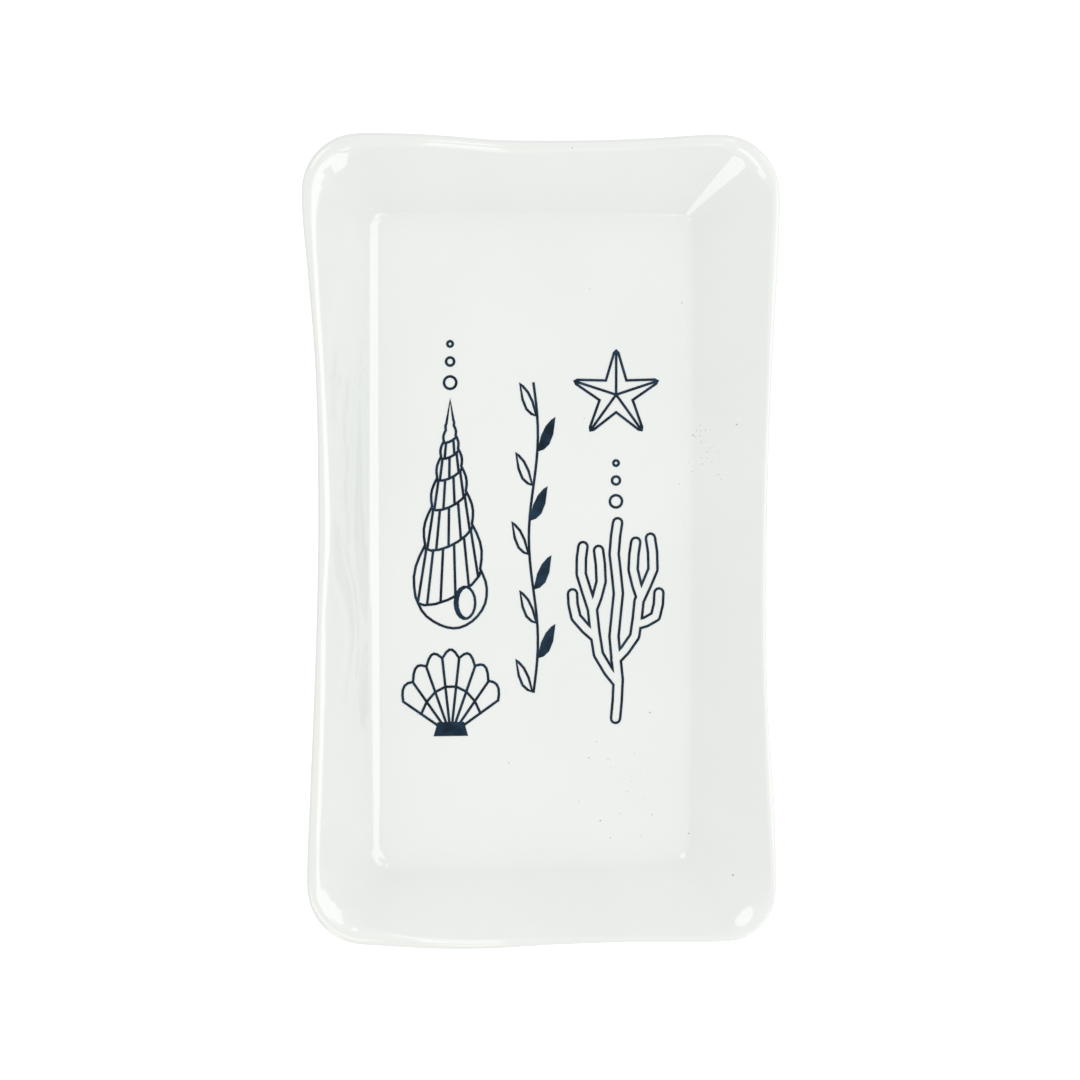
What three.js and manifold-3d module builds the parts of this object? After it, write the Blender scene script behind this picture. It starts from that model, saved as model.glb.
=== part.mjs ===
// Rectangular serving plate: one glazed stoneware dish with a gently waved rim, a wall that slopes up all
// round a flat floor, and a low foot under it. A dark blue line print of shells, coral, weed and a star is
// fired onto the floor, each motif its own thin transfer. Millimetres, +Z up. The origin is on the table,
// under the middle of the rim; +X is the right-hand long side and +Y the far short side.

import * as THREE from 'three';
import { mergeVertices } from 'three/addons/utils/BufferGeometryUtils.js';
import Module from 'manifold-3d';

// Floor and foot
const floorWidth = 114;
const floorLength = 237;
const floorCornerRadii = { farRight: 3, farLeft: 4, nearLeft: 4, nearRight: 6 };
const floorThickness = 4.4;
const floorOffsetX = -1; // the pressed floor lies a little off the middle of the rim
const floorOffsetY = 0.9;
const footHeight = 2.6;
const footWidth = 4.5;
const footInset = 3; // from the edge of the floor in to the foot
const footTaper = 0.7; // each side of the foot leans in by this much
const footCornerRadius = 1.8; // where the foot's inset would leave a corner sharper

// Wall
const sideWallRun = 30.5; // level distance from the floor's edge out to the rim, at the long sides
const endWallRun = 30.8; // the same at the short sides
const wallThickness = 3.4; // where the wall leaves the floor
const hollowRadii = { right: 5.5, far: 4.5, left: 7, near: 10 }; // the hollow curve round the floor

// Rim, seen from above: its corners, and how far each side is drawn in, as shares of the deepest waist,
// counter-clockwise
const rimRadii = { farRight: 22, farLeft: 21, nearLeft: 22, nearRight: 19 };
const nearLeftShiftX = 0.5; // this corner is a little out of square
const nearLeftShiftY = 1.8;
const rimWaist = 5.5;
const rightWaistShares = [0, 0.14, 0.56, 0.7, 0.66, 0.58, 0.45, 0.16, 0];
const farWaistShares = [0, 0.16, 0.32, 0.4, 0.42, 0.4, 0.16, 0.02, 0];
const leftWaistShares = [0, 0.44, 0.86, 1, 0.96, 0.8, 0.58, 0.26, 0];
const nearWaistShares = [0, -0.22, -0.4, -0.4, -0.25, -0.12, 0, 0, 0];

// Rim, in section: the wall bends over into a slightly domed top with a round outer edge. Round each
// corner, and a little along the left side, the wall flares out below that bend.
const plateHeight = 30;
const rimDip = 4; // the rim is this much lower between the corners
const rimBendRadius = 2.2;
const sideFlareRadii = { right: 2.2, far: 2.2, left: 4.5, near: 2.2 };
const cornerFlareRadii = { farRight: 20, farLeft: 40, nearLeft: 35, nearRight: 30 };
const sideFlareDegrees = 20; // how steep the wall still is where a flare ends, at the sides
const cornerFlareDegrees = { farRight: 15, farLeft: 28, nearLeft: 28, nearRight: 13 }; // and in each corner
const rimEdgeRadii = { right: 1.2, far: 2.6, left: 1.5, near: 1.8 };
const rimCrownDegrees = 10; // how far the top falls away at both its edges
const rimTopWidth = 2.5; // the top where it is widest
const rightTopShares = [0, 0.6, 0, 0, 0, 0, 0, 0.5, 0.36];
const farTopShares = [0.3, 0.2, 0.1, 0.1, 0.3, 0.4, 0.4, 0.4, 0.6];
const leftTopShares = [1, 0.3, 0.02, 0.24, 0.44, 0.04, 0.4, 0.64, 0.7];
const nearTopShares = [1, 0.5, 0.4, 0.25, 0.1, 0, 0, 0, 0];

// Steps round the dish
const longSideSteps = 16;
const shortSideSteps = 12;
const cornerSteps = 9;
const hollowSteps = 5;
const flareSteps = 2;
const bendSteps = 2;
const crownSteps = 2;
const edgeSteps = 5;

// Print
const printHeight = 0.15; // how far the fired ink stands up from the glaze
const lineWidth = 0.95;
const printGap = 7; // clear glaze between one motif and the next
const screwShellLength = 86;
const screwShellBreadth = 27;
const screwShellMouthWidth = 8.6;
const screwShellMouthHeight = 13;
const fanShellWidth = 38;
const fanShellHeight = 33;
const coralWidth = 37;
const coralHeight = 78;
const coralBranchWidth = 4.4;
const starRadius = 17;
const weedHeight = 116;
const weedWidth = 17;
const bubbleRadii = [2.8, 2, 1.5];
const bubbleGap = 3;
const cutOverrun = 1;

const fullTurn = 2 * Math.PI;
const quarterTurn = Math.PI / 2;
const floorTop = footHeight + floorThickness;

const wasm = await Module();
wasm.setup();

// Solids

function solidFrom(geometry) {
  const bare = geometry.clone();
  bare.deleteAttribute('normal');
  bare.deleteAttribute('uv');
  const merged = mergeVertices(bare);
  const vertProperties = new Float32Array(merged.attributes.position.array);
  const triVerts = new Uint32Array(merged.index.array);
  return new wasm.Manifold(new wasm.Mesh({ numProp: 3, vertProperties, triVerts }));
}

function geometryFrom(solid) {
  const mesh = solid.getMesh();
  const geometry = new THREE.BufferGeometry();
  geometry.setAttribute('position', new THREE.BufferAttribute(mesh.vertProperties, mesh.numProp));
  geometry.setIndex(new THREE.BufferAttribute(mesh.triVerts, 1));
  geometry.computeVertexNormals();
  return geometry;
}

const joined = (solids) => solids.reduce((whole, solid) => whole.add(solid));

// Outlines of the dish seen from above: four straight sides and four round corners, counter-clockwise from
// the near end of the right side. Every outline has the same stations, so rings of them make one skin.

// A smooth curve through evenly spaced values, level at both ends
function smoothValue(values, t) {
  const spans = values.length - 1;
  const span = Math.min(Math.floor(t * spans), spans - 1);
  const u = t * spans - span;
  const slope = (i) => (i === 0 || i === spans ? 0 : (values[i + 1] - values[i - 1]) / 2);
  const rise = values[span + 1] - values[span];
  const start = slope(span);
  const end = slope(span + 1);
  return values[span] + u * (start + u * (3 * rise - 2 * start - end + u * (start + end - 2 * rise)));
}

// Each side with the corner that follows it
const sides = [
  {
    side: 'right',
    corner: 'farRight',
    steps: longSideSteps,
    waistShares: rightWaistShares,
    topShares: rightTopShares,
  },
  {
    side: 'far',
    corner: 'farLeft',
    steps: shortSideSteps,
    waistShares: farWaistShares,
    topShares: farTopShares,
  },
  {
    side: 'left',
    corner: 'nearLeft',
    steps: longSideSteps,
    waistShares: leftWaistShares,
    topShares: leftTopShares,
  },
  {
    side: 'near',
    corner: 'nearRight',
    steps: shortSideSteps,
    waistShares: nearWaistShares,
    topShares: nearTopShares,
  },
];

const cornerDirections = [[1, 1], [-1, 1], [-1, -1], [1, -1]];

function outlineOf({ width, length, radii, shifts, waist = 0 }) {
  const centres = cornerDirections.map(([x, y], i) => new THREE.Vector2(
    x * (width / 2 - radii[i]),
    y * (length / 2 - radii[i]),
  ).add(shifts[i]));
  const arcPoint = (corner, angle) => new THREE.Vector2(radii[corner], 0)
    .rotateAround(new THREE.Vector2(), angle)
    .add(centres[corner]);
  const stations = [];
  sides.forEach(({ steps, waistShares }, i) => {
    const facing = i * quarterTurn;
    const from = arcPoint((i + 3) % sides.length, facing);
    const to = arcPoint(i, facing);
    const inward = new THREE.Vector2(-1, 0).rotateAround(new THREE.Vector2(), facing);
    for (let step = 1; step < steps; step++) {
      const t = step / steps;
      const drawnIn = waist * smoothValue(waistShares, t);
      stations.push(from.clone().lerp(to, t).addScaledVector(inward, drawnIn));
    }
    for (let step = 0; step <= cornerSteps; step++) {
      stations.push(arcPoint(i, facing + quarterTurn * step / cornerSteps));
    }
  });
  return stations;
}

// A value at each station: a row of values along each side, and round each corner a smooth change to the next
// side's row, by way of the corner's own value if there is one
function alongRim(rows, cornerValues) {
  const values = [];
  sides.forEach(({ steps }, i) => {
    const before = rows[i][rows[i].length - 1];
    const after = rows[(i + 1) % sides.length][0];
    const turn = cornerValues ? [before, cornerValues[i], after] : [before, after];
    for (let step = 1; step < steps; step++) {
      values.push(smoothValue(rows[i], step / steps));
    }
    for (let step = 0; step <= cornerSteps; step++) {
      values.push(smoothValue(turn, step / cornerSteps));
    }
  });
  return values;
}

// How low the rim dips at each station, from 0 at the corners to 1 half-way along a side
function dipShares() {
  const shares = [];
  sides.forEach(({ steps }) => {
    for (let step = 1; step < steps; step++) {
      shares.push(Math.sin(Math.PI * step / steps) ** 2);
    }
    for (let step = 0; step <= cornerSteps; step++) {
      shares.push(0);
    }
  });
  return shares;
}

function centredOnOrigin(outline) {
  const box = new THREE.Box2().setFromPoints(outline);
  const middle = box.getCenter(new THREE.Vector2());
  return outline.map((point) => point.clone().sub(middle));
}

const inSquare = new THREE.Vector2();
const nearLeftShift = new THREE.Vector2(nearLeftShiftX, nearLeftShiftY);

const rimEdge = centredOnOrigin(outlineOf({
  width: floorWidth + 2 * sideWallRun,
  length: floorLength + 2 * endWallRun,
  radii: sides.map(({ corner }) => rimRadii[corner]),
  shifts: sides.map(({ corner }) => (corner === 'nearLeft' ? nearLeftShift : inSquare)),
  waist: rimWaist,
}));

const floorMiddle = new THREE.Vector2(floorOffsetX, floorOffsetY);

// The floor's edge, drawn in by an inset
function floorOutline(inset) {
  const outline = outlineOf({
    width: floorWidth - 2 * inset,
    length: floorLength - 2 * inset,
    radii: sides.map(({ corner }) => Math.max(floorCornerRadii[corner] - inset, footCornerRadius)),
    shifts: sides.map(() => inSquare),
  });
  return outline.map((point) => point.add(floorMiddle));
}

// The wall's section: out along x from the floor's edge, up along y from the floor. A hollow curve leaves the
// floor, a straight slope and a flare follow, and a bend carries it over into the rim's domed top. The round
// outer edge leads to a slope and a curve on the underside.
function wallSection({ run, rise, hollowRadius, flareRadius, flareDegrees, topWidth, edgeRadius }) {
  const flareTilt = THREE.MathUtils.degToRad(flareDegrees);
  const crownTilt = THREE.MathUtils.degToRad(rimCrownDegrees);
  const crownRadius = edgeRadius + topWidth / 2 / Math.sin(crownTilt);
  const leaning = (tilt, distance) => new THREE.Vector2(-Math.sin(tilt), Math.cos(tilt))
    .multiplyScalar(distance);
  const crownCentre = new THREE.Vector2(run - edgeRadius - topWidth / 2, rise - crownRadius);
  const bendCentre = leaning(crownTilt, crownRadius - rimBendRadius).add(crownCentre);
  const flareCentre = leaning(flareTilt, rimBendRadius - flareRadius).add(bendCentre);
  const edgeCentre = leaning(-crownTilt, crownRadius - edgeRadius).add(crownCentre);
  const hollowCentre = new THREE.Vector2(0, hollowRadius);

  // How steep a line is that touches the hollow curve and another one
  const slopeTo = (centre, radii) => {
    const between = centre.clone().sub(hollowCentre);
    return Math.atan2(between.y, between.x) + Math.asin(radii / between.length());
  };
  const innerSlope = slopeTo(flareCentre, hollowRadius + flareRadius);
  const outerSlope = slopeTo(edgeCentre, hollowRadius + wallThickness - edgeRadius);

  const arcOf = (centre, radius, fromTilt, toTilt, steps) => {
    const points = [];
    for (let step = 0; step <= steps; step++) {
      points.push(leaning(THREE.MathUtils.lerp(fromTilt, toTilt, step / steps), radius).add(centre));
    }
    return points;
  };
  const upperHollow = [];
  const lowerHollow = [];
  for (let step = 0; step <= hollowSteps; step++) {
    const share = step / hollowSteps;
    const depth = THREE.MathUtils.lerp(floorThickness, wallThickness, share);
    upperHollow.push(leaning(innerSlope * share, -hollowRadius).add(hollowCentre));
    lowerHollow.push(leaning(outerSlope * share, -hollowRadius - depth).add(hollowCentre));
  }
  return [
    ...upperHollow,
    ...arcOf(flareCentre, flareRadius, innerSlope, flareTilt, flareSteps),
    ...arcOf(bendCentre, rimBendRadius, flareTilt, crownTilt, bendSteps).slice(1),
    ...arcOf(crownCentre, crownRadius, crownTilt, -crownTilt, crownSteps).slice(1),
    ...arcOf(edgeCentre, edgeRadius, -crownTilt, outerSlope - Math.PI, edgeSteps).slice(1),
    ...lowerHollow.reverse(),
  ];
}

// Rings of the dish's skin, from the middle of the floor out over the rim and back under to the middle
function dishRings() {
  const floorEdge = floorOutline(0);
  const flatRing = (outline, height) => outline.map((point) => new THREE.Vector3(point.x, point.y, height));
  const pole = (height) => floorEdge.map(() => new THREE.Vector3(floorMiddle.x, floorMiddle.y, height));
  const sameAlong = (sideValues) => sides.map(({ side }) => [sideValues[side], sideValues[side]]);
  const inCorners = (cornerValues) => sides.map(({ corner }) => cornerValues[corner]);
  const dips = dipShares();
  const hollows = alongRim(sameAlong(hollowRadii));
  const flares = alongRim(sameAlong(sideFlareRadii), inCorners(cornerFlareRadii));
  const steepness = sides.map(() => [sideFlareDegrees, sideFlareDegrees]);
  const flareTilts = alongRim(steepness, inCorners(cornerFlareDegrees));
  const tops = alongRim(sides.map(({ topShares }) => topShares));
  const edges = alongRim(sameAlong(rimEdgeRadii));
  const sections = floorEdge.map((start, i) => {
    const out = rimEdge[i].clone().sub(start);
    const direction = out.clone().normalize();
    const section = wallSection({
      run: out.length(),
      rise: plateHeight - rimDip * dips[i] - floorTop,
      hollowRadius: hollows[i],
      flareRadius: flares[i],
      flareDegrees: flareTilts[i],
      topWidth: rimTopWidth * tops[i],
      edgeRadius: edges[i],
    });
    return section.map((point) => new THREE.Vector3(
      start.x + direction.x * point.x,
      start.y + direction.y * point.x,
      floorTop + point.y,
    ));
  });
  const wallRings = sections[0].map((_, ring) => sections.map((section) => section[ring]));
  const footOuter = footInset;
  const footInner = footInset + footWidth;
  return [
    pole(floorTop),
    ...wallRings,
    flatRing(floorOutline(footOuter), footHeight),
    flatRing(floorOutline(footOuter + footTaper), 0),
    flatRing(floorOutline(footInner - footTaper), 0),
    flatRing(floorOutline(footInner), footHeight),
    pole(footHeight),
  ];
}

// A lathe's round grid, with each of its points moved to its place on the dish
function dishGeometry() {
  const rings = dishRings();
  const stations = rings[0].length;
  const profile = rings.map((_, ring) => new THREE.Vector2(ring, 0));
  const grid = new THREE.LatheGeometry(profile, stations);
  const position = grid.attributes.position;
  for (let spoke = 0; spoke <= stations; spoke++) {
    rings.forEach((ring, i) => {
      const point = ring[(stations - spoke) % stations];
      position.setXYZ(spoke * rings.length + i, point.x, point.y, point.z);
    });
  }
  return geometryFrom(solidFrom(grid));
}

// Ink: every motif is drawn flat round its own middle, then set down on the floor

function inkArea(outline, holes = [], overrun = 0) {
  const shape = new THREE.Shape(outline);
  shape.holes = holes.map((hole) => new THREE.Path(hole));
  const slab = new THREE.ExtrudeGeometry(shape, { depth: printHeight + 2 * overrun, bevelEnabled: false });
  return solidFrom(slab.translate(0, 0, -overrun));
}

// Points beside a line, at a signed distance, with its corners kept sharp
function beside(points, distance, closed) {
  const last = points.length - 1;
  return points.map((point, i) => {
    const before = points[i > 0 ? i - 1 : closed ? last : 0];
    const after = points[i < last ? i + 1 : closed ? 0 : last];
    const into = point.clone().sub(before);
    const onward = after.clone().sub(point);
    const a = (into.lengthSq() ? into : onward).clone().normalize();
    const b = (onward.lengthSq() ? onward : into).clone().normalize();
    const mean = a.clone().add(b).normalize();
    const normal = new THREE.Vector2(-mean.y, mean.x);
    return point.clone().addScaledVector(normal, distance / Math.max(mean.dot(a), Math.SQRT1_2));
  });
}

function inkLine(points) {
  const left = beside(points, lineWidth / 2, false);
  const right = beside(points, -lineWidth / 2, false);
  return inkArea([...left, ...right.reverse()]);
}

// A line drawn along the inside of a closed outline that runs counter-clockwise
function inkLoop(points) {
  return inkArea(points, [beside(points, lineWidth, true)]);
}

function arc(centre, radiusX, radiusY, from, turn, steps) {
  const points = [];
  for (let step = 0; step <= steps; step++) {
    const angle = from + turn * step / steps;
    points.push(new THREE.Vector2(radiusX * Math.cos(angle), radiusY * Math.sin(angle)).add(centre));
  }
  return points;
}

const oval = (centre, radiusX, radiusY, steps) => arc(centre, radiusX, radiusY, 0, fullTurn, steps).slice(1);

// A broad stroke with round ends, laid along a row of points
function broadStroke(points, width, overrun = 0) {
  const halfTurnSteps = 6;
  return joined(points.slice(1).map((to, i) => {
    const from = points[i];
    const facing = to.clone().sub(from).angle();
    return inkArea([
      ...arc(to, width / 2, width / 2, facing - quarterTurn, Math.PI, halfTurnSteps),
      ...arc(from, width / 2, width / 2, facing + quarterTurn, Math.PI, halfTurnSteps),
    ], [], overrun);
  }));
}

// Points given as shares of a motif's width and height
const placesOf = (shares, width, height) => shares.map(([x, y]) => new THREE.Vector2(x * width, y * height));

// Tall spiral shell, its tip up: bulging turns that shrink towards the tip, ribs down each turn, a dark mouth
function screwShell() {
  const turns = 7;
  const turnShare = 0.735; // each turn's size beside the one below it
  const spireShare = 0.86; // the spire's part of the length
  const bulgeShare = 0.11; // how far a turn swells, beside its own height
  const sagShare = 0.32; // how far the seams hang, beside a turn's height
  const turnSteps = 5;
  const seamShare = (turn) => spireShare * turnShare ** turn;
  const onSide = (side, share, swell = 0) => new THREE.Vector2(
    side * screwShellBreadth / 2 * share / spireShare + side * swell,
    screwShellLength * (1 / 2 - share),
  );
  const flank = (side, firstTurn) => {
    const points = [];
    for (let turn = 0; turn < turns; turn++) {
      const low = seamShare(firstTurn + turn);
      const high = seamShare(firstTurn + turn + 1);
      for (let step = 0; step < turnSteps; step++) {
        const swell = bulgeShare * screwShellLength * (low - high) * Math.sin(Math.PI * step / turnSteps);
        points.push(onSide(side, THREE.MathUtils.lerp(low, high, step / turnSteps), swell));
      }
    }
    return points;
  };
  const left = flank(-1, 0);
  const right = flank(1, 1 / 2);
  const tip = new THREE.Vector2(0, screwShellLength / 2);
  const baseShares = [
    [-0.38, -0.435], [-0.14, -0.487], [0.1, -0.5],
    [0.33, -0.465], [0.49, -0.395], [0.515, -0.31],
  ];
  const base = new THREE.SplineCurve([
    left[0],
    ...placesOf(baseShares, screwShellBreadth, screwShellLength),
    right[0],
  ]).getPoints(18);
  const outline = [...base, ...right.slice(1), tip, ...left.slice(1).reverse()];

  const seamAt = (turn, across) => {
    const from = onSide(-1, seamShare(turn));
    const to = onSide(1, seamShare(turn + 1 / 2));
    const sag = sagShare * screwShellLength * (seamShare(turn) - seamShare(turn + 1)) * Math.cos(across);
    return from.clone().lerp(to, (1 + Math.sin(across)) / 2).add(new THREE.Vector2(0, -sag));
  };
  const seams = [];
  const ribs = [];
  for (let turn = 0; turn < turns - 1; turn++) {
    const seam = [];
    for (let step = -4; step <= 4; step++) {
      seam.push(seamAt(turn, quarterTurn * step / 4));
    }
    seams.push(inkLine(seam));
    const ribCount = turns - turn - 1;
    for (let rib = 1; rib <= ribCount && turn < turns - 2; rib++) {
      const across = Math.PI * (rib / (ribCount + 1) - 1 / 2);
      ribs.push(inkLine([seamAt(turn, across), seamAt(turn + 1, across)]));
    }
  }
  const mouthShares = [0.2, -0.385];
  const [mouthCentre] = placesOf([mouthShares], screwShellBreadth, screwShellLength);
  const mouthArea = (inset, steps) => {
    const width = screwShellMouthWidth - 2 * inset;
    const height = screwShellMouthHeight - 2 * inset;
    return oval(mouthCentre, width / 2, height / 2, steps);
  };
  const lines = joined([...seams, ...ribs])
    .intersect(inkArea(outline))
    .subtract(inkArea(mouthArea(lineWidth / 2, 18), [], cutOverrun));
  const throat = inkArea(mouthArea(0, 18)).subtract(inkArea(
    mouthArea(lineWidth, 18).map((point) => point.add(new THREE.Vector2(lineWidth, 0))),
    [],
    cutOverrun,
  ));
  return joined([inkLoop(outline), lines, inkLoop(mouthArea(0, 18)), throat]);
}

// Branching coral, drawn as the outline of its rounded branches
function coral() {
  const branchShares = [
    [[0, -0.5], [0.03, -0.3], [-0.02, -0.08], [0.03, 0.14], [-0.02, 0.34], [0.02, 0.5]],
    [[0.03, -0.32], [-0.2, -0.17], [-0.27, 0.06], [-0.4, 0.24], [-0.38, 0.38]],
    [[-0.24, -0.08], [-0.46, 0.02], [-0.5, 0.14]],
    [[-0.27, 0.06], [-0.17, 0.2], [-0.2, 0.36]],
    [[0, -0.2], [0.22, -0.08], [0.27, 0.1], [0.43, 0.26], [0.4, 0.42]],
    [[0.24, -0.02], [0.46, 0.02], [0.5, 0.14]],
    [[0.29, 0.12], [0.2, 0.26], [0.23, 0.4]],
  ];
  const branches = branchShares.map((shares) => new THREE.SplineCurve(placesOf(
    shares,
    coralWidth - coralBranchWidth,
    coralHeight - coralBranchWidth,
  )).getPoints(2 * shares.length - 2));
  const whole = joined(branches.map((branch) => broadStroke(branch, coralBranchWidth)));
  const innerWidth = coralBranchWidth - 2 * lineWidth;
  const inner = joined(branches.map((branch) => broadStroke(branch, innerWidth, cutOverrun)));
  return whole.subtract(inner);
}

// Five-armed star with a ridge down each arm
function seaStar() {
  const arms = 5;
  const waistShare = 0.42;
  const shoulderShare = 0.93;
  const tipSpread = fullTurn / arms / 16;
  const middle = new THREE.Vector2();
  const onArm = (share, angle) => new THREE.Vector2(starRadius * share, 0).rotateAround(middle, angle);
  const outline = [];
  const ridges = [];
  for (let arm = 0; arm < arms; arm++) {
    const facing = quarterTurn + fullTurn * arm / arms;
    outline.push(
      onArm(shoulderShare, facing - tipSpread),
      onArm(1, facing),
      onArm(shoulderShare, facing + tipSpread),
      onArm(waistShare, facing + fullTurn / arms / 2),
    );
    ridges.push(inkLine([middle, onArm(shoulderShare, facing)]));
  }
  return joined([inkLoop(outline), ...ridges, inkArea(oval(middle, lineWidth, lineWidth, 10))]);
}

// Fan shell on its eared hinge, with a rib to each dip between its lobes and one growth line
function fanShell() {
  const lobes = 7;
  const lobeShare = 0.09; // how far a lobe swells, beside the fan's reach
  const lobeSteps = 5;
  const growthShare = 0.62;
  const ribStartShare = 0.13;
  const fanStart = Math.PI * 0.14;
  const fanTurn = Math.PI - 2 * fanStart;
  const hinge = new THREE.Vector2(0, -fanShellHeight / 2);
  const reach = fanShellHeight / (1 + lobeShare);
  const widen = fanShellWidth / 2 / (Math.cos(fanStart) * reach * (1 + lobeShare / 2));
  const onFan = (share, distance) => {
    const angle = fanStart + fanTurn * share;
    return new THREE.Vector2(Math.cos(angle) * distance * widen, Math.sin(angle) * distance).add(hinge);
  };
  const edge = [];
  for (let step = 0; step <= lobes * lobeSteps; step++) {
    const bulge = Math.sin(Math.PI * (step % lobeSteps) / lobeSteps);
    edge.push(onFan(step / (lobes * lobeSteps), reach * (1 + lobeShare * bulge)));
  }
  const ribs = [];
  for (let rib = 1; rib < lobes; rib++) {
    ribs.push(inkLine([onFan(rib / lobes, reach * ribStartShare), onFan(rib / lobes, reach)]));
  }
  const growth = [];
  for (let step = 0; step <= lobes; step++) {
    growth.push(onFan(step / lobes, reach * growthShare));
  }
  const earShares = [[0.17, 0], [0.13, 0.16], [-0.13, 0.16], [-0.17, 0]];
  const ears = placesOf(earShares, fanShellWidth, fanShellHeight).map((point) => point.add(hinge));
  return joined([inkLoop([hinge.clone(), ...edge]), ...ribs, inkLine(growth), inkArea(ears)]);
}

// Upright weed: a swaying stem with pointed leaves by turns left and right, those on the right filled in
function weed() {
  const stemSteps = 28;
  const sways = 3;
  const swayShare = 0.1;
  const stemAt = (share) => new THREE.Vector2(
    weedWidth * swayShare * Math.sin(Math.PI * sways * share),
    weedHeight * (share - 1 / 2),
  );
  const stem = [];
  for (let step = 0; step <= stemSteps; step++) {
    stem.push(stemAt(step / stemSteps));
  }
  const leaves = 9;
  const leafLength = weedHeight / leaves;
  const leafReach = weedWidth * (1 / 2 - swayShare);
  const leafShares = [
    [0, 0], [0.36, 0.06], [0.66, 0.21], [0.88, 0.5], [1, 1],
    [0.76, 0.92], [0.46, 0.74], [0.2, 0.46],
  ];
  const leafAreas = [];
  for (let leaf = 0; leaf < leaves; leaf++) {
    const side = leaf % 2 ? 1 : -1;
    const root = stemAt(leaf / leaves);
    const outline = placesOf(leafShares, side * leafReach, leafLength).map((point) => point.add(root));
    leafAreas.push(side > 0 ? inkArea(outline) : inkLoop(outline.reverse()));
  }
  return joined([inkLine(stem), ...leafAreas]);
}

function bubble(radius) {
  return inkLoop(oval(new THREE.Vector2(), radius, radius, 16));
}

// Parts

const glaze = new THREE.MeshStandardMaterial({ color: 0xedf0ed, roughness: 0.12, metalness: 0 });
const ink = new THREE.MeshStandardMaterial({ color: 0x16283a, roughness: 0.25, metalness: 0 });

const plate = new THREE.Group();

const dish = new THREE.Mesh(dishGeometry(), glaze);
dish.name = 'dish';
plate.add(dish);

const print = new THREE.Group();
print.position.set(floorMiddle.x, floorMiddle.y, floorTop);
plate.add(print);

function addInk(name, solid, x, y) {
  const mesh = new THREE.Mesh(geometryFrom(solid), ink);
  mesh.name = name;
  mesh.position.set(x, y, 0);
  print.add(mesh);
}

// Two columns of motifs either side of the weed, each with a rising row of bubbles
const columnWidth = Math.max(screwShellBreadth, fanShellWidth, coralWidth, 2 * starRadius);
const columnX = (weedWidth + columnWidth) / 2 + printGap / 2;
const bubbleRow = bubbleRadii.reduce((row, radius) => row + 2 * radius + bubbleGap, 0);

const leftColumn = fanShellHeight + printGap + screwShellLength + bubbleRow;
const fanShellY = (fanShellHeight - leftColumn) / 2;
const screwShellY = fanShellY + (fanShellHeight + screwShellLength) / 2 + printGap;
const rightColumn = coralHeight + bubbleRow + printGap + 2 * starRadius;
const coralY = (coralHeight - rightColumn) / 2;
const starY = rightColumn / 2 - starRadius;

addInk('print_fan_shell', fanShell(), -columnX, fanShellY);
addInk('print_screw_shell', screwShell(), -columnX, screwShellY);
addInk('print_coral', coral(), columnX, coralY);
addInk('print_sea_star', seaStar(), columnX, starY);
addInk('print_weed', weed(), 0, 0);

let risen = bubbleGap;
bubbleRadii.forEach((radius, i) => {
  risen += radius;
  addInk(`print_left_bubble_${i + 1}`, bubble(radius), -columnX, screwShellY + screwShellLength / 2 + risen);
  addInk(`print_right_bubble_${i + 1}`, bubble(radius), columnX, coralY + coralHeight / 2 + risen);
  risen += radius + bubbleGap;
});

export default plate;
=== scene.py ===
import math
import random
import bpy
from mathutils import Matrix, Vector, noise


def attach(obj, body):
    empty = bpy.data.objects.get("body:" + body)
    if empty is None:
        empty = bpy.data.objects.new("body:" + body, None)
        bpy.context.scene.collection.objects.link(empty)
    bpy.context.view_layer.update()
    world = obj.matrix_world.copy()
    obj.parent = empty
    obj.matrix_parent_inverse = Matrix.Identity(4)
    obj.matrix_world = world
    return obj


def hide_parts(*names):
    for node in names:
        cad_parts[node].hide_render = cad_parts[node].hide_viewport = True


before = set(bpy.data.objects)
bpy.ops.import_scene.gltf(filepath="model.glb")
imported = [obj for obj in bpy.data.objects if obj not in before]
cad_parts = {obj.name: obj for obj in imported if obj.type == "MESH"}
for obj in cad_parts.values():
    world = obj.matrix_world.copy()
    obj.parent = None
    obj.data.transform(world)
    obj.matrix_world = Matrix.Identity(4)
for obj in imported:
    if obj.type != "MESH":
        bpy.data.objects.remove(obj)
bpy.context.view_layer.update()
mm = 0.001
quarterTurn = math.pi / 2
print("frame: the packed plate is loaded")


# Camera: nearly straight above, a little to the left and towards the far end
photoCamera = {
    "leftDegrees": 6.5,
    "farDegrees": 4.5,
    "distance": 1.25,
    "lens": 113.0,
    "aim": (0.0, 0.0012, 0.02),
}


def makeCamera(look):
    aim = Vector(look["aim"])
    back = Vector((
        -math.tan(math.radians(look["leftDegrees"])),
        math.tan(math.radians(look["farDegrees"])),
        1,
    )).normalized()
    across = Vector((0, 1, 0)).cross(back).normalized()
    up = back.cross(across)
    data = bpy.data.cameras.new("photoCamera")
    data.lens = look["lens"]
    camera = bpy.data.objects.new("photoCamera", data)
    bpy.context.scene.collection.objects.link(camera)
    turn = Matrix((across, up, back)).transposed().to_4x4()
    camera.matrix_world = Matrix.Translation(aim + back * look["distance"]) @ turn
    bpy.context.scene.camera = camera


makeCamera(photoCamera)
print("camera: above the plate")


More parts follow.
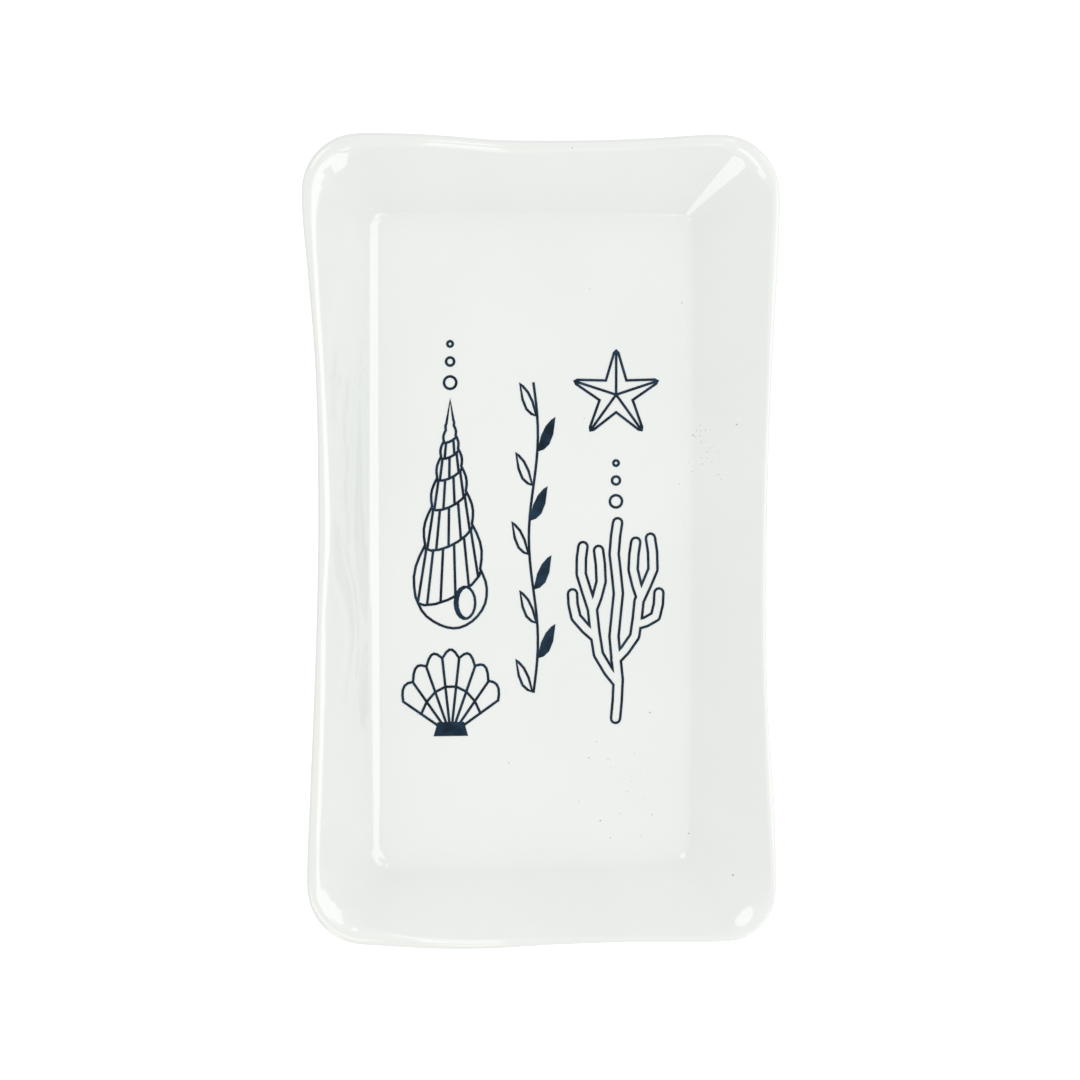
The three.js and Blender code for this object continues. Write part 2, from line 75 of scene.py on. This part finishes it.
# A signal is a socket that can be used in a sum; each sum adds its Math nodes
class Signal:
    def __init__(self, finish, socket):
        self.finish = finish
        self.socket = socket

    def maths(self, operation, *others):
        inputs = {i + 1: other for i, other in enumerate(others)}
        return self.finish.node("ShaderNodeMath", {"operation": operation}, {0: self, **inputs})

    def __add__(self, other):
        return self.maths("ADD", other)

    def __sub__(self, other):
        return self.maths("SUBTRACT", other)

    def __rsub__(self, other):
        return self.finish.node("ShaderNodeMath", {"operation": "SUBTRACT"}, {0: other, 1: self})

    def __mul__(self, other):
        return self.maths("MULTIPLY", other)

    def between(self, low, high):
        # 0 below low, 1 above high, and soft between them
        return self.finish.node(
            "ShaderNodeMapRange", {"interpolation_type": "SMOOTHSTEP"},
            {"Value": self, "From Min": low, "From Max": high},
        )

    __radd__ = __add__
    __rmul__ = __mul__


class Finish:
    def __init__(self, name):
        self.material = bpy.data.materials.new(name)
        self.material.use_nodes = True
        self.tree = self.material.node_tree
        self.tree.nodes.clear()

    def node(self, kind, settings=None, values=None, out=0):
        made = self.tree.nodes.new(kind)
        for name, setting in (settings or {}).items():
            setattr(made, name, setting)
        for name, value in (values or {}).items():
            socket = made.inputs[name]
            if isinstance(value, Signal):
                self.tree.links.new(value.socket, socket)
            else:
                socket.default_value = value
        return Signal(self, made.outputs[out]) if made.outputs else made

    def mixed(self, share, first, second):
        # Mix node's colour sockets: A is 6, B is 7 and the result is 2
        return self.node(
            "ShaderNodeMix", {"data_type": "RGBA"},
            {0: share, 6: first, 7: second}, out=2,
        )

    def place(self):
        return self.node("ShaderNodeTexCoord", out="Object")

    def noise(self, place, scale, detail=2.0, roughness=0.5):
        return self.node(
            "ShaderNodeTexNoise", {},
            {"Vector": place, "Scale": scale, "Detail": detail, "Roughness": roughness},
        )

    def bump(self, strength, distance, height):
        return self.node(
            "ShaderNodeBump", {},
            {"Strength": strength, "Distance": distance, "Height": height},
        )

    def painted(self, name):
        # a value laid on the mesh's points by the code that made it
        return self.node("ShaderNodeAttribute", {"attribute_name": name}, out="Fac")

    def surface(self, **values):
        made = self.node("ShaderNodeBsdfPrincipled", {}, {
            name.replace("_", " "): value for name, value in values.items()
        })
        self.node("ShaderNodeOutputMaterial", {}, {"Surface": made})
        return self.material


def tint(red, green, blue):
    return (red, green, blue, 1.0)


# Dish sizes in millimetres, the same as the solid's; the steps are finer
dishSizes = {
    "floorWidth": 114, "floorLength": 237, "floorCornerRadii": (3, 4, 4, 6),
    "floorOffset": (-1.0, 0.9), "floorThickness": 4.4,
    "footHeight": 2.6, "footWidth": 4.5, "footInset": 3, "footTaper": 0.7, "footEdgeRadius": 0.6,
    "footCornerRadius": 1.8,
    "footEdgeEase": 0.1,                 # how far the foot's sides lean back where an edge starts to round
    "footEdgeShare": 0.3,                # how high up that edge its middle ring lies
    "footEdgeBareness": 0.4,             # how bare of glaze the clay is where that edge starts
    "sideWallRun": 30.5, "endWallRun": 30.8, "wallThickness": 3.4,
    "rimEdgeRadii": (1.2, 2.6, 1.5, 1.8),    # the round outer edge at the right, far, left and near side
    "rimCrownDegrees": 10, "rimTopWidth": 2.5,
    "rimTopShares": (                    # right, far, left and near side, counter-clockwise
        (0, 0.6, 0, 0, 0, 0, 0, 0.5, 0.36),
        (0.3, 0.2, 0.1, 0.1, 0.3, 0.4, 0.4, 0.4, 0.6),
        (1, 0.3, 0.02, 0.24, 0.44, 0.04, 0.4, 0.64, 0.7),
        (1, 0.5, 0.4, 0.25, 0.1, 0, 0, 0, 0),
    ),
    "rimBendRadius": 2.2,                # where the wall bends over into the rim's top
    "sideFlareRadii": (2.2, 2.2, 4.5, 2.2),  # below that bend the wall flares out: at the sides
    "cornerFlareRadii": (20, 40, 35, 30),    # and in the corners
    "sideFlareDegrees": 20, "cornerFlareDegrees": (15, 28, 28, 13),
    "wallFootRadii": (5.5, 4.5, 7, 10),  # hollow curve at the right, far, left and near side
    "plateHeight": 30, "rimDip": 4,
    "rimRadii": (22, 21, 22, 19),        # far right, far left, near left, near right
    "rimShifts": ((0, 0), (0, 0), (0.5, 1.8), (0, 0)),  # how far each corner is out of square
    "rimWaist": 5.5,
    "waistShares": (                     # right, far, left and near side, counter-clockwise
        (0, 0.14, 0.56, 0.7, 0.66, 0.58, 0.45, 0.16, 0),
        (0, 0.16, 0.32, 0.4, 0.42, 0.4, 0.16, 0.02, 0),
        (0, 0.44, 0.86, 1, 0.96, 0.8, 0.58, 0.26, 0),
        (0, -0.22, -0.4, -0.4, -0.25, -0.12, 0, 0, 0),
    ),
    "waveHeight": 0.3,                   # how far the hand-finished wall strays
    "waveLength": 60,
    "waveSeeds": (7.3, 2.9),             # outwards and upwards
    "upwardWaveShare": 1.4,
    # how often neighbours round the dish are averaged, so that each side's values run into the next side's
    "outlinePasses": 10, "wallFootPasses": 60, "flarePasses": 40, "rimTopPasses": 20, "rimEdgePasses": 40,
}

# Steps of the mesh, round the dish and over the wall's section, and the rings of the floor and of the recess
sideSteps = (112, 68, 112, 68)
cornerSteps = 26
cornerSigns = ((1, 1), (-1, 1), (-1, -1), (1, -1))
sectionSteps = {"foot": 14, "slope": 8, "flare": 8, "bend": 6, "crown": 5, "edge": 12}
floorRingShares = (0.03, 0.2, 0.4, 0.6, 0.8, 0.92)
recessRingShares = (0.8, 0.5, 0.2, 0.03)
lipRings = (3, 4)    # the glaze is thin on the rim's crown and on so many rings before and after it
edgeShadeRings = 9        # and painted grey shade on so many rings past the crown


def smoothValue(values, t):
    # a smooth curve through evenly spaced values, level at both ends
    spans = len(values) - 1
    span = min(int(t * spans), spans - 1)
    u = t * spans - span

    def slope(i):
        return 0 if i in (0, spans) else (values[i + 1] - values[i - 1]) / 2

    rise = values[span + 1] - values[span]
    start, end = slope(span), slope(span + 1)
    return values[span] + u * (start + u * (3 * rise - 2 * start - end + u * (start + end - 2 * rise)))


def aimed(angle):
    return Vector((math.cos(angle), math.sin(angle)))


def outlineOf(width, length, radii, shifts, waist, waistShares):
    centres = [
        Vector((x * (width / 2 - radius), y * (length / 2 - radius))) + Vector(shift)
        for (x, y), radius, shift in zip(cornerSigns, radii, shifts)
    ]
    points = []
    for i, steps in enumerate(sideSteps):
        facing = i * quarterTurn
        start = centres[i - 1] + aimed(facing) * radii[i - 1]
        end = centres[i] + aimed(facing) * radii[i]
        for step in range(1, steps):
            t = step / steps
            points.append(start.lerp(end, t) - aimed(facing) * waist * smoothValue(waistShares[i], t))
        for step in range(cornerSteps + 1):
            angle = facing + quarterTurn * step / cornerSteps
            points.append(centres[i] + aimed(angle) * radii[i])
    return points


def dipShares():
    shares = []
    for steps in sideSteps:
        shares += [math.sin(math.pi * step / steps) ** 2 for step in range(1, steps)]
        shares += [0] * (cornerSteps + 1)
    return shares


def alongRim(sideValues, middles=None):
    # each side's row of values; between rows a corner eases to the next, by way of its own middle value
    # if it has one
    spread = []
    for i, steps in enumerate(sideSteps):
        before, after = sideValues[i][-1], sideValues[(i + 1) % 4][0]
        spread += [smoothValue(sideValues[i], step / steps) for step in range(1, steps)]
        for step in range(cornerSteps + 1):
            t = step / cornerSteps
            spread.append(smoothValue((before, middles[i], after) if middles else (before, after), t))
    return spread


def softened(points, passes):
    count = len(points)
    for _ in range(passes):
        points = [(points[i - 1] + points[i] * 2 + points[(i + 1) % count]) / 4 for i in range(count)]
    return points


def centred(points):
    middle = Vector((
        (max(p.x for p in points) + min(p.x for p in points)) / 2,
        (max(p.y for p in points) + min(p.y for p in points)) / 2,
    ))
    return [p - middle for p in points]


# The wall's section, out along x from the floor's edge and up along y from the floor: a hollow curve, a
# slope, a flare outwards, a bend over into the rim's slightly domed top, the round outer edge, and back
# down the outside
def wallSection(dish, run, rise, footRadius, flareRadius, flareDegrees, topWidth, edgeRadius):
    thickness = dish["wallThickness"]
    bendRadius = dish["rimBendRadius"]
    flareTilt = math.radians(flareDegrees)
    crownTilt = math.radians(dish["rimCrownDegrees"])
    crownRadius = edgeRadius + topWidth / 2 / math.sin(crownTilt)
    crownCentre = Vector((run - edgeRadius - topWidth / 2, rise - crownRadius))

    def leaning(tilt):
        return Vector((-math.sin(tilt), math.cos(tilt)))

    footCentre = Vector((0, footRadius))
    bendCentre = crownCentre + leaning(crownTilt) * (crownRadius - bendRadius)
    flareCentre = bendCentre + leaning(flareTilt) * (bendRadius - flareRadius)
    edgeCentre = crownCentre + leaning(-crownTilt) * (crownRadius - edgeRadius)

    def slopeTo(centre, radii):
        between = centre - footCentre
        return math.atan2(between.y, between.x) + math.asin(radii / between.length)

    inside = slopeTo(flareCentre, footRadius + flareRadius)
    outside = slopeTo(edgeCentre, footRadius + thickness - edgeRadius)

    def arcOf(centre, radius, start, end, steps):
        return [centre + leaning(start + (end - start) * step / steps) * radius for step in range(steps + 1)]

    def bridged(start, end, steps):
        return [start.lerp(end, step / steps) for step in range(1, steps)]

    footSteps, slopeSteps = sectionSteps["foot"], sectionSteps["slope"]
    upper = [footCentre - leaning(inside * step / footSteps) * footRadius for step in range(footSteps + 1)]
    flare = arcOf(flareCentre, flareRadius, inside, flareTilt, sectionSteps["flare"])
    bend = arcOf(bendCentre, bendRadius, flareTilt, crownTilt, sectionSteps["bend"])[1:]
    crown = arcOf(crownCentre, crownRadius, crownTilt, -crownTilt, sectionSteps["crown"])[1:]
    edge = arcOf(edgeCentre, edgeRadius, -crownTilt, outside - math.pi, sectionSteps["edge"])[1:]
    upper += bridged(upper[-1], flare[0], slopeSteps) + flare + bend
    lower = []
    for step in range(footSteps + 1):
        share = step / footSteps
        depth = dish["floorThickness"] + (thickness - dish["floorThickness"]) * share
        lower.append(footCentre - leaning(outside * share) * (footRadius + depth))
    lower += bridged(lower[-1], edge[-1], slopeSteps)
    lower.reverse()
    return upper, crown + edge, lower


def makeDish(dish):
    rim = centred(outlineOf(
        dish["floorWidth"] + 2 * dish["sideWallRun"], dish["floorLength"] + 2 * dish["endWallRun"],
        dish["rimRadii"], dish["rimShifts"], dish["rimWaist"], dish["waistShares"],
    ))
    rim = softened(rim, dish["outlinePasses"])
    offset = Vector(dish["floorOffset"])
    straight = ((0, 0),) * 4

    def floorOutline(inset, least=0.0):
        radii = [max(radius - inset, least) for radius in dish["floorCornerRadii"]]
        return [p + offset for p in outlineOf(
            dish["floorWidth"] - 2 * inset, dish["floorLength"] - 2 * inset, radii, straight, 0, straight,
        )]

    floorTop = dish["footHeight"] + dish["floorThickness"]
    floorEdge = floorOutline(0)
    dips = softened(dipShares(), dish["outlinePasses"])

    def alike(values):
        # one value for the whole of each side
        return [(value,) * 2 for value in values]

    footRadii = softened(alongRim(alike(dish["wallFootRadii"])), dish["wallFootPasses"])
    flareRadii = alongRim(alike(dish["sideFlareRadii"]), dish["cornerFlareRadii"])
    flareRadii = softened(flareRadii, dish["flarePasses"])
    flareDegrees = alongRim(alike((dish["sideFlareDegrees"],) * 4), dish["cornerFlareDegrees"])
    flareDegrees = softened(flareDegrees, dish["flarePasses"])
    topShares = softened(alongRim(dish["rimTopShares"]), dish["rimTopPasses"])
    topWidths = [dish["rimTopWidth"] * share for share in topShares]
    edgeRadii = softened(alongRim(alike(dish["rimEdgeRadii"])), dish["rimEdgePasses"])
    around = zip(floorEdge, rim, dips, footRadii, flareRadii, flareDegrees, topWidths, edgeRadii)

    # each ring: its points, how bare it is, how thin the glaze is on the lip, and how much painted shade its
    # outer edge gets
    rings = []

    def addRing(points, bare=0.0, lip=0.0, edge=0.0):
        rings.append((points, bare, lip, edge))

    # floor, widening from a small ring round its middle
    for share in floorRingShares:
        addRing([Vector((*offset.lerp(p, share), floorTop)) for p in floorEdge])

    # wall and rim, with a slow hand-made wave that dies away at the floor
    def stray(place, seed):
        scaled = place / dish["waveLength"]
        return noise.noise(Vector((scaled.x, scaled.y, seed))) * dish["waveHeight"]

    outwardSeed, upwardSeed = dish["waveSeeds"]
    columns = []
    for start, end, dip, *sizes in around:
        out = end - start
        run = out.length
        outward = out / run
        rise = dish["plateHeight"] - dish["rimDip"] * dip - floorTop
        upper, lip, lower = wallSection(dish, run, rise, *sizes)
        column = []
        for point in upper + lip + lower:
            share = min(max(point.x / run, 0), 1)
            hold = share * share * (3 - 2 * share)
            place = start + outward * (point.x + hold * stray(end, outwardSeed))
            height = floorTop + point.y + hold * stray(place, upwardSeed) * dish["upwardWaveShare"]
            column.append(Vector((place.x, place.y, height)))
        columns.append(column)

    def swell(i, first, last):
        # rises and falls again between two rings
        return math.sin(math.pi * min(max((i - first) / (last - first), 0), 1)) ** 2

    crownEnd = len(upper) + sectionSteps["crown"]
    lipStart, lipEnd = len(upper) - lipRings[0], crownEnd + lipRings[1]
    for i in range(len(columns[0])):
        points = [column[i] for column in columns]
        # the edge share lays painted shade in grey over the rim's outer edge, past the crown
        addRing(points, lip=swell(i, lipStart, lipEnd), edge=swell(i, crownEnd, crownEnd + edgeShadeRings))

    # foot ring with softened edges, and the recess inside it
    soft = dish["footEdgeRadius"]
    outer = dish["footInset"]
    inner = dish["footInset"] + dish["footWidth"]
    taper = dish["footTaper"]
    ease = dish["footEdgeEase"]
    middle = soft * dish["footEdgeShare"]
    partBare = dish["footEdgeBareness"]

    def footRing(inset, height, bare):
        addRing([Vector((*p, height)) for p in floorOutline(inset, dish["footCornerRadius"])], bare=bare)

    footRing(outer - soft, dish["footHeight"], 0)
    footRing(outer + ease, dish["footHeight"] - soft, 0)
    footRing(outer + taper - ease, soft, partBare)
    footRing(outer + taper + middle, middle, 1)
    footRing(outer + taper + soft, 0, 1)
    footRing(inner - taper - soft, 0, 1)
    footRing(inner - taper - middle, middle, 1)
    footRing(inner - taper + ease, soft, partBare)
    footRing(inner - ease, dish["footHeight"] - soft, 0)
    footRing(inner + soft, dish["footHeight"], 0)
    for share in recessRingShares:
        addRing([Vector((*offset.lerp(p, share), dish["footHeight"])) for p in floorEdge])

    count = len(floorEdge)
    points = [tuple(p * mm) for ring in rings for p in ring[0]]
    faces = []
    for ring in range(len(rings) - 1):
        for i in range(count):
            after = (i + 1) % count
            low, high = ring * count, (ring + 1) * count
            faces.append((low + i, high + i, high + after, low + after))
    faces.append(tuple(range(count)))
    faces.append(tuple(reversed(range(len(points) - count, len(points)))))
    mesh = bpy.data.meshes.new("glazedDish")
    mesh.from_pydata(points, [], faces)
    # the edge attribute carries the painted shade on the rim's outer edge
    for i, name in enumerate(("bare", "lip", "edge")):
        values = [ring[i + 1] for ring in rings for _ in range(count)]
        mesh.attributes.new(name, "FLOAT", "POINT").data.foreach_set("value", values)
    mesh.shade_smooth()
    mesh.update()
    piece = bpy.data.objects.new("glazedDish", mesh)
    bpy.context.scene.collection.objects.link(piece)
    return piece


# Glaze: a clear glossy coat over a white body, thin and warm on the lip, with painted shade in grey on its
# outer edge, with pinholes and clusters of finer specks as a fired glaze has, and bare clay under the foot
glazeLook = {
    "white": tint(0.823, 0.841, 0.816),
    "pooled": tint(0.803, 0.829, 0.803),
    "thin": tint(0.74, 0.71, 0.62),
    # edge: painted shade, a grey laid over the rim's outer edge where it turns away from the light
    "edge": tint(0.55, 0.56, 0.56),
    "clay": tint(0.62, 0.55, 0.45),
    "speck": tint(0.4, 0.39, 0.35),
    "roughness": 0.02, "clayRoughness": 0.7, "refraction": 1.55,
    "thinOnLip": 0.14, "paintedEdgeShade": 0.6,
    "driftScale": 14.0, "driftDetail": 3.0, "driftRange": (0.35, 0.65),    # where the glaze pooled
    "driftRoughness": 0.01,
    "rippleScale": 55.0, "rippleHeight": 0.5,
    "grainScale": 2600.0, "grainDetail": 3.0, "grainRoughness": 0.7, "grainHeight": 0.6,    # of the bare clay
    "bumpStrength": 0.35, "bumpDistance": 0.0002,
    "pinholes": (                        # x, y and radius in millimetres
        (24.3, -105.8, 0.42), (72.6, -125.2, 0.45), (73.4, 43.4, 0.4), (43.0, -65.2, 0.42),
        (-10.3, -83.4, 0.3), (54.6, 88.3, 0.32), (57.9, -111.2, 0.34), (19.9, -81.9, 0.34),
        (28.1, -112.3, 0.32), (43.9, -103.9, 0.3), (18.0, 45.4, 0.28), (21.1, 54.0, 0.28),
        (67.4, 24.6, 0.26), (20.0, 93.7, 0.24), (11.1, 144.7, 0.3),
    ),
    "clusters": (                        # middle in x and y, spread and number of specks
        (60.8, 40.0, 4, 16), (62.5, 32.0, 9, 14), (36.0, -92.0, 20, 12),
    ),
    "speckSeed": 7, "speckRadii": (0.14, 0.26),
    "speckRange": (0.5, 1.1),            # where a speck starts to fade and where it ends, over its radius
    "speckDepth": 0.85,
}


def speckled(finish, place, look):
    # 1 inside a speck and 0 outside it, seen from above
    chance = random.Random(look["speckSeed"])
    spots = list(look["pinholes"])
    for x, y, spread, number in look["clusters"]:
        for _ in range(number):
            middle = (chance.gauss(x, spread / 2), chance.gauss(y, spread / 2))
            spots.append((*middle, chance.uniform(*look["speckRadii"])))
    flat = finish.node("ShaderNodeVectorMath", {"operation": "MULTIPLY"}, {0: place, 1: (1, 1, 0)})
    inner, outer = look["speckRange"]
    marked = None
    for x, y, radius in spots:
        middle = (x * mm, y * mm, 0)
        away = finish.node("ShaderNodeVectorMath", {"operation": "DISTANCE"}, {0: flat, 1: middle}, out=1)
        spot = 1 - away.between(radius * inner * mm, radius * outer * mm)
        marked = marked.maths("MAXIMUM", spot) if marked else spot
    return marked * look["speckDepth"]


def makeGlaze(look):
    finish = Finish("whiteGlaze")
    place = finish.place()
    bare = finish.painted("bare")
    lip = finish.painted("lip")
    drift = finish.noise(place, look["driftScale"], look["driftDetail"])
    color = finish.mixed(drift.between(*look["driftRange"]), look["white"], look["pooled"])
    color = finish.mixed(lip * look["thinOnLip"], color, look["thin"])
    # painted shade: grey laid over the rim's outer edge
    color = finish.mixed(finish.painted("edge") * look["paintedEdgeShade"], color, look["edge"])
    color = finish.mixed(bare, color, look["clay"])
    color = finish.mixed(speckled(finish, place, look), color, look["speck"])
    ripple = finish.noise(place, look["rippleScale"])
    grain = finish.noise(place, look["grainScale"], look["grainDetail"], look["grainRoughness"])
    height = ripple * look["rippleHeight"] + grain * bare * look["grainHeight"]
    return finish.surface(
        Base_Color=color,
        Roughness=look["roughness"] + drift * look["driftRoughness"] + bare * look["clayRoughness"],
        IOR=look["refraction"],
        Normal=finish.bump(look["bumpStrength"], look["bumpDistance"], height),
    )


dish = makeDish(dishSizes)
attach(dish, "root")
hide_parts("dish")
dish.data.materials.append(makeGlaze(glazeLook))
print("dish: %d faces" % len(dish.data.polygons))


# Ink: dark blue, fired into the glaze
inkLook = {
    "deep": tint(0.002, 0.011, 0.023),
    "thin": tint(0.01, 0.034, 0.066),
    "roughness": 0.28,
    "gloss": 0.1,
    "cloudScale": 160.0, "cloudDetail": 3.0, "cloudRange": (0.35, 0.7),    # where the ink is thin
    "grainScale": 900.0, "grainRoughness": 0.1,
    "bumpStrength": 0.2, "bumpDistance": 0.0001,
}


def makeInk(look):
    finish = Finish("firedInk")
    place = finish.place()
    cloud = finish.noise(place, look["cloudScale"], look["cloudDetail"])
    color = finish.mixed(cloud.between(*look["cloudRange"]), look["deep"], look["thin"])
    grain = finish.noise(place, look["grainScale"])
    return finish.surface(
        Base_Color=color,
        Roughness=look["roughness"] + grain * look["grainRoughness"],
        Specular_IOR_Level=look["gloss"],
        Normal=finish.bump(look["bumpStrength"], look["bumpDistance"], grain),
    )


ink = makeInk(inkLook)
for name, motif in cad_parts.items():
    if name.startswith("print_"):
        motif.data.materials.clear()
        motif.data.materials.append(ink)
print("print: inked")


# Table: a plain pale sheet
tableLook = {"color": tint(0.9, 0.9, 0.9), "size": 6.0, "roughness": 0.9, "glow": 0.3}


def makeTable(look):
    half = look["size"] / 2
    mesh = bpy.data.meshes.new("paleTable")
    corners = [(-half, -half, 0), (half, -half, 0), (half, half, 0), (-half, half, 0)]
    mesh.from_pydata(corners, [], [(0, 1, 2, 3)])
    finish = Finish("paleTable")
    mesh.materials.append(finish.surface(
        Base_Color=look["color"],
        Roughness=look["roughness"],
        Emission_Color=tint(1, 1, 1),
        Emission_Strength=look["glow"],
    ))
    table = bpy.data.objects.new("paleTable", mesh)
    bpy.context.scene.collection.objects.link(table)


makeTable(tableLook)


# Studio: an even white room, a soft light above that doesn't show as gloss, and panels that show only as
# gloss. A panel is part of a plane that faces the dish. The plane's middle has a bearing from +x and a tilt
# from straight up, in degrees, and the panel reaches from one number to the next across the plane and up it,
# in metres
studio = {
    "room": 0.96,
    "distance": 1.3,
    "glossBrightness": 2.2,
    "glossPanels": {
        "windowMiddle": (-5, 50, (-0.05, 0.24), (-0.55, 1.0)),
        "windowMiddleFar": (-5, 50, (-0.31, -0.05), (-0.27, 1.0)),
        "windowFar": (-5, 50, (-0.66, -0.31), (-0.05, 0.4)),
        "windowFarEnd": (-5, 50, (-1.6, -0.66), (-0.5, 0.35)),
        "windowNear": (-5, 50, (0.24, 0.62), (-0.38, 0.3)),
        "windowNearEnd": (-5, 50, (0.62, 0.95), (-0.22, 0.45)),
        "nearLeftPanel": (-115, 70, (-0.18, 0.18), (-0.42, 0.42)),
        "cornerPanel": (-110, 29, (-0.25, 0.25), (-0.12, 0.12)),
        "cornerLeftPanel": (-150, 38, (-0.02, 0.25), (-0.22, 0.2)),
        "farLeftPanel": (129, 35, (-0.18, 0.18), (-0.32, 0.32)),
        "nearPanel": (-80, 38, (0.11, 0.32), (-0.14, 0.2)),
        "farPanel": (80, 38, (-0.28, -0.16), (-0.1, 0.3)),
    },
    "roundPanels": ("nearLeftPanel", "farLeftPanel"),
    "topLight": (0, 20, (-0.6, 0.6), (-0.6, 0.6)),
    "topBrightness": 0.5,
}


def makePanel(name, distance, brightness, shape, bearing, tilt, acrossReach, upReach):
    width = acrossReach[1] - acrossReach[0]
    height = upReach[1] - upReach[0]
    data = bpy.data.lights.new(name, "AREA")
    data.shape = shape
    data.size = width
    data.size_y = height
    data.energy = brightness * math.pi * width * height * (math.pi / 4 if shape == "ELLIPSE" else 1)
    panel = bpy.data.objects.new(name, data)
    bpy.context.scene.collection.objects.link(panel)
    level = aimed(math.radians(bearing)).to_3d()
    back = level * math.sin(math.radians(tilt)) + Vector((0, 0, math.cos(math.radians(tilt))))
    across = Vector((0, 0, 1)).cross(back).normalized()
    up = back.cross(across)
    middle = back * distance + across * sum(acrossReach) / 2 + up * sum(upReach) / 2
    panel.matrix_world = Matrix.Translation(middle) @ Matrix((across, up, back)).transposed().to_4x4()
    return panel


for name, place in studio["glossPanels"].items():
    shape = "ELLIPSE" if name in studio["roundPanels"] else "RECTANGLE"
    panel = makePanel(name, studio["distance"], studio["glossBrightness"], shape, *place)
    panel.visible_diffuse = False
top = makePanel("topLight", studio["distance"], studio["topBrightness"], "RECTANGLE", *studio["topLight"])
top.visible_glossy = False

world = bpy.data.worlds.new("evenRoom")
world.use_nodes = True
world.node_tree.nodes["Background"].inputs["Color"].default_value = tint(1, 1, 1)
world.node_tree.nodes["Background"].inputs["Strength"].default_value = studio["room"]
bpy.context.scene.world = world
bpy.context.scene.view_settings.view_transform = "Standard"
print("studio: lit")
